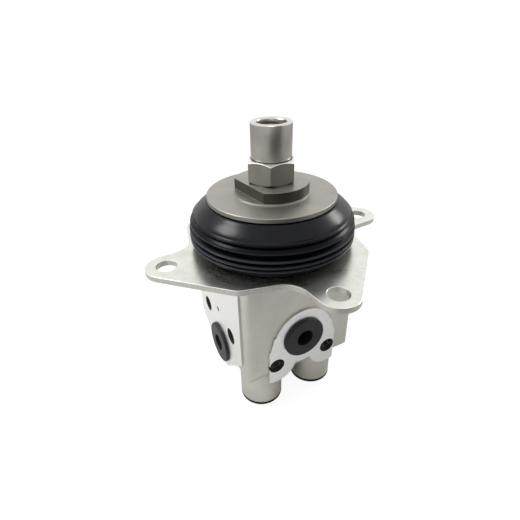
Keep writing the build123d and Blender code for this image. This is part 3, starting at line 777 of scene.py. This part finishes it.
def shoulder_outline():
    """The wall from the seam over the lip to the rim under the disk, outside and then inside."""
    outer = [(FOLD_ROOT_R, SEAM_Z), (FOLD_ROOT_R, 19.3), (40.8, 19.55), (41.05, 19.7),
             (41.1, 20.2), (40.9, 20.45), (40.2, 20.8), (39.9, 21.1), (39.8, 21.5), (39.0, 22.4),
             (37.6, 23.6), (36.0, 24.9), (34.6, 25.9), (33.6, LIP_Z - 0.2), (33.0, LIP_Z),
             (LIP_IN_R, LIP_Z)]
    inner = [(LIP_IN_R, LIP_Z - WALL_MM), (33.0, LIP_Z - WALL_MM), (36.0, 23.2), (38.0, 21.4),
             (FOLD_ROOT_R - WALL_MM, 20.4), (FOLD_ROOT_R - WALL_MM, SEAM_Z)]
    return outer + inner


print("boot outlines have", len(fold_outline()), "and", len(shoulder_outline()), "points")

# %% [markdown]
# ## Two halves of the boot
# Moulded rubber has no sharp edges, so each half is softened by subdivision.


# %% Folds and shoulder
def soften(piece, levels):
    """Round a turned piece by subdivision."""
    modifier = piece.modifiers.new("soften", "SUBSURF")
    modifier.levels = levels
    modifier.render_levels = levels
    apply_modifiers(piece)
    return piece


folds = soften(turned(fold_outline(), BOOT_SEGMENTS), BOOT_SMOOTHING)
folds = finish_piece(folds, "boot_folds", rubber, smooth=60)
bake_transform(folds)
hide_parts("boot")

shoulder = soften(turned(shoulder_outline(), BOOT_SEGMENTS), BOOT_SMOOTHING)
shoulder = finish_piece(shoulder, "boot_shoulder", rubber, smooth=60)
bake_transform(shoulder)
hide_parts("boot")

# %% [markdown]
# ## Lever sleeve and its thread
# The sleeve is turned from bar, its top face cut bright after blasting, and the lever screws into
# its female thread. The thread is a ridge that winds round the bore: a small triangle is swept
# by the Screw modifier at the pitch of an M14 x 1.5 thread.

# %% Sleeve
BORE_R = 7.05
SLEEVE_R = 10.0
SLEEVE_SEGMENTS = 128
sleeve_outline = [(BORE_R, NUT_TOP), (9.5, NUT_TOP), (9.85, 46.95), (SLEEVE_R, 47.3),
                  (SLEEVE_R, 63.2), (9.85, 63.6), (9.5, SLEEVE_TOP), (7.9, SLEEVE_TOP),
                  (7.2, 63.3), (BORE_R, 62.9)]
sleeve = finish_piece(turned(sleeve_outline, SLEEVE_SEGMENTS), "lever_sleeve", sleeve_steel)
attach(sleeve, "lever")
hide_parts("lever_coupling")


# %% A thread: a triangle swept round and along its axis
THREAD_STEPS = 48
THREAD_TURNS = 5


def thread_ridge(name, root_r, crest_r, pitch, low):
    """A female thread's ridge round the Z axis, starting at a height in millimetres."""
    deselect()
    bpy.ops.mesh.primitive_circle_add(vertices=3, radius=pitch * 0.4 * MM,
                                      location=(root_r * MM, 0, low * MM),
                                      rotation=(pi / 2, 0, 0))
    ridge = bpy.context.object
    only(ridge)
    bpy.ops.object.transform_apply(location=True, rotation=True, scale=True)
    corners = [(root_r, low - pitch * 0.44), (root_r, low + pitch * 0.44), (crest_r, low)]
    for vertex, (radius, height) in zip(ridge.data.vertices, corners):
        vertex.co = (radius * MM, 0, height * MM)
    screw = ridge.modifiers.new("wind", "SCREW")
    screw.axis = "Z"
    screw.screw_offset = pitch * MM
    screw.iterations = THREAD_TURNS
    screw.steps = THREAD_STEPS
    screw.render_steps = THREAD_STEPS
    apply_modifiers(ridge)
    bpy.ops.object.mode_set(mode="EDIT")
    bpy.ops.mesh.select_all(action="SELECT")
    bpy.ops.mesh.remove_doubles(threshold=1e-6)
    bpy.ops.mesh.fill_holes(sides=4)
    bpy.ops.mesh.normals_make_consistent(inside=False)
    bpy.ops.object.mode_set(mode="OBJECT")
    return finish_piece(ridge, name, thread_steel, smooth=25)


LEVER_PITCH = 1.5
lever_thread = thread_ridge("lever_thread_ridge", 7.2, 6.25, LEVER_PITCH, 55.4)
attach(lever_thread, "lever")
print("lever thread pitch", LEVER_PITCH, "mm")

# %% [markdown]
# ## Swash disk
# The disk and its boss are turned in one piece, and two spanner flats are milled across the
# boss, down to a low ledge. Here the outline is turned first and each flat is cut by a box with
# the Boolean modifier, as a cutter would. A narrow bevel then breaks every edge.

# %% Disk with its boss
DISK_SEGMENTS = 192
DISK_UNDERSIDE = 27.2
DISK_FACE = 29.6
BOSS_R = 19.0
FLAT_AT = 13.95
FLAT_TURN = radians(6.7)
disk_outline = [(BORE_R, DISK_UNDERSIDE), (DISK_R - 0.3, DISK_UNDERSIDE), (DISK_R, 27.5),
                (DISK_R, 29.35), (DISK_R - 0.25, DISK_FACE), (BOSS_R + 0.3, DISK_FACE),
                (BOSS_R + 0.05, 29.7), (BOSS_R, 29.9), (BOSS_R, BOSS_TOP), (BORE_R, BOSS_TOP)]
disk = turned(disk_outline, DISK_SEGMENTS)
for side in (-1, 1):
    deselect()
    reach = side * (FLAT_AT + BOSS_R)
    bpy.ops.mesh.primitive_cube_add(
        size=2 * BOSS_R * MM, rotation=(0, 0, FLAT_TURN),
        location=(reach * cos(FLAT_TURN) * MM, reach * sin(FLAT_TURN) * MM,
                  (BOSS_LEDGE_Z + BOSS_R) * MM))
    cutter = bpy.context.object
    cut = disk.modifiers.new("flat", "BOOLEAN")
    cut.operation = "DIFFERENCE"
    cut.object = cutter
    apply_modifiers(disk)
    only(cutter)
    bpy.ops.object.delete()
print("boss", 2 * FLAT_AT, "mm across its flats")

# %% [markdown]
# ## Broken edges
# A bevel rounds every edge that is sharper than a set angle. A bevel alone leaves false shading
# on the large faces beside it, so their normals are then weighted by area, which keeps them flat.


# %% Narrow rounds on all sharp edges
SHARP_DEGREES = 32
ROUND_SEGMENTS = 2
SMOOTH_DEGREES = 40


def break_edges(piece, width_mm):
    """Round all sharp edges by a width in millimetres and keep flat faces flat."""
    only(piece)
    bevel = piece.modifiers.new("edge", "BEVEL")
    bevel.width = width_mm * MM
    bevel.segments = ROUND_SEGMENTS
    bevel.limit_method = "ANGLE"
    bevel.angle_limit = radians(SHARP_DEGREES)
    apply_modifiers(piece)
    bpy.ops.object.shade_smooth_by_angle(angle=radians(SMOOTH_DEGREES))
    even = piece.modifiers.new("even", "WEIGHTED_NORMAL")
    even.keep_sharp = True
    apply_modifiers(piece)


disk = finish_piece(disk, "disk_finished", disk_steel)
break_edges(disk, 0.15)
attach(disk, "lever")
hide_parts("cam_disk")

# %% [markdown]
# ## Edges that catch the light
# Real edges are never perfectly sharp: a deburred edge is a narrow round that shows as a thin
# bright line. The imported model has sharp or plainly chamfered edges. So the plate, the nut, the
# body and the port plugs are copied, their loose triangles merged, and a small bevel put on
# every sharp edge.


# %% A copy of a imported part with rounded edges
def rounded_copy(node, name, width_mm, material, body):
    """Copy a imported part, merge its triangles, round its edges and put it in the part's place."""
    deselect()
    source = nodes[node]
    source.select_set(True)
    bpy.context.view_layer.objects.active = source
    bpy.ops.object.duplicate()
    piece = bpy.context.object
    # The copy is a new piece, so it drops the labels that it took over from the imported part.
    for key in list(piece.keys()):
        del piece[key]
    piece.parent = None
    bpy.ops.object.mode_set(mode="EDIT")
    bpy.ops.mesh.select_all(action="SELECT")
    bpy.ops.mesh.remove_doubles(threshold=2e-6)
    bpy.ops.mesh.dissolve_limited(angle_limit=radians(1.0))
    bpy.ops.mesh.customdata_custom_splitnormals_clear()
    bpy.ops.object.mode_set(mode="OBJECT")
    piece = finish_piece(piece, name, material)
    break_edges(piece, width_mm)
    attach(piece, body)
    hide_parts(node)


rounded_copy("mounting_plate", "plate_finished", 0.35, zinc, "housing")
rounded_copy("lock_nut", "nut_finished", 0.2, nut_steel, "lever")
rounded_copy("valve_body", "body_finished", 0.45, aluminium, "housing")
for node in ("front_port_plug", "side_port_plug"):
    rounded_copy(node, node + "_finished", 0.25, plastic, "housing")

# %% [markdown]
# ## Threads in the flange holes
# Each port has two tapped holes for the screws of a hose flange. Only the first turns of the
# thread catch light; deeper in, the hole's wall is painted dark as shade.

# %% Threads of the four tapped holes
TAP_PITCH = 1.25
PAD_MM = 34.5
TAPS = {
    "front_left": (Vector((-TAP_OFFSET_MM, -PAD_MM, FRONT_TAP_Z)), "front"),
    "front_right": (Vector((TAP_OFFSET_MM, -PAD_MM, FRONT_TAP_Z)), "front"),
    "side_left": (Vector((-PAD_MM, TAP_OFFSET_MM, SIDE_TAP_Z)), "side"),
    "side_right": (Vector((-PAD_MM, -TAP_OFFSET_MM, SIDE_TAP_Z)), "side"),
}
INTO_FACE = {"front": Matrix.Rotation(radians(-90), 4, "X"),
             "side": Matrix.Rotation(radians(90), 4, "Y")}
for hole, (mouth, face) in TAPS.items():
    ridge = thread_ridge("thread_" + hole, 3.5, 2.95, TAP_PITCH, 2.0)
    ridge.matrix_world = Matrix.Translation(mouth * MM) @ INTO_FACE[face]
    only(ridge)
    bpy.ops.object.transform_apply(location=True, rotation=True, scale=True)
    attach(ridge, "housing")

# %% [markdown]
# ## Finishes of the parts that stay as packed
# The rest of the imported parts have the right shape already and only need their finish.

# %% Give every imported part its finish
FINISHES = {
    "valve_body": aluminium, "mounting_plate": zinc, "plate_screws": ground_steel,
    "base_yoke": guide_steel, "joint_cross": ground_steel, "base_pin": ground_steel,
    "stud_pins": ground_steel, "stud_yoke": guide_steel, "cam_disk": disk_steel,
    "lock_nut": nut_steel, "lever_coupling": sleeve_steel, "boot": rubber,
    "clamp_ring": zinc, "front_port_plug": plastic, "side_port_plug": plastic,
    "pusher": ground_steel, "guide_bushing": guide_steel, "pusher_seal": rubber,
    "bushing_oring": rubber, "spring_seat": guide_steel, "return_spring": spring_wire,
    "balance_spring": spring_wire, "spool": ground_steel, "foot_plug": plastic,
}
for name, obj in nodes.items():
    kind = name[:-2] if name[-2:] in ("_1", "_2", "_3", "_4") else name
    obj.data.materials.clear()
    obj.data.materials.append(FINISHES[kind])
print("finished", len(nodes), "packed parts")
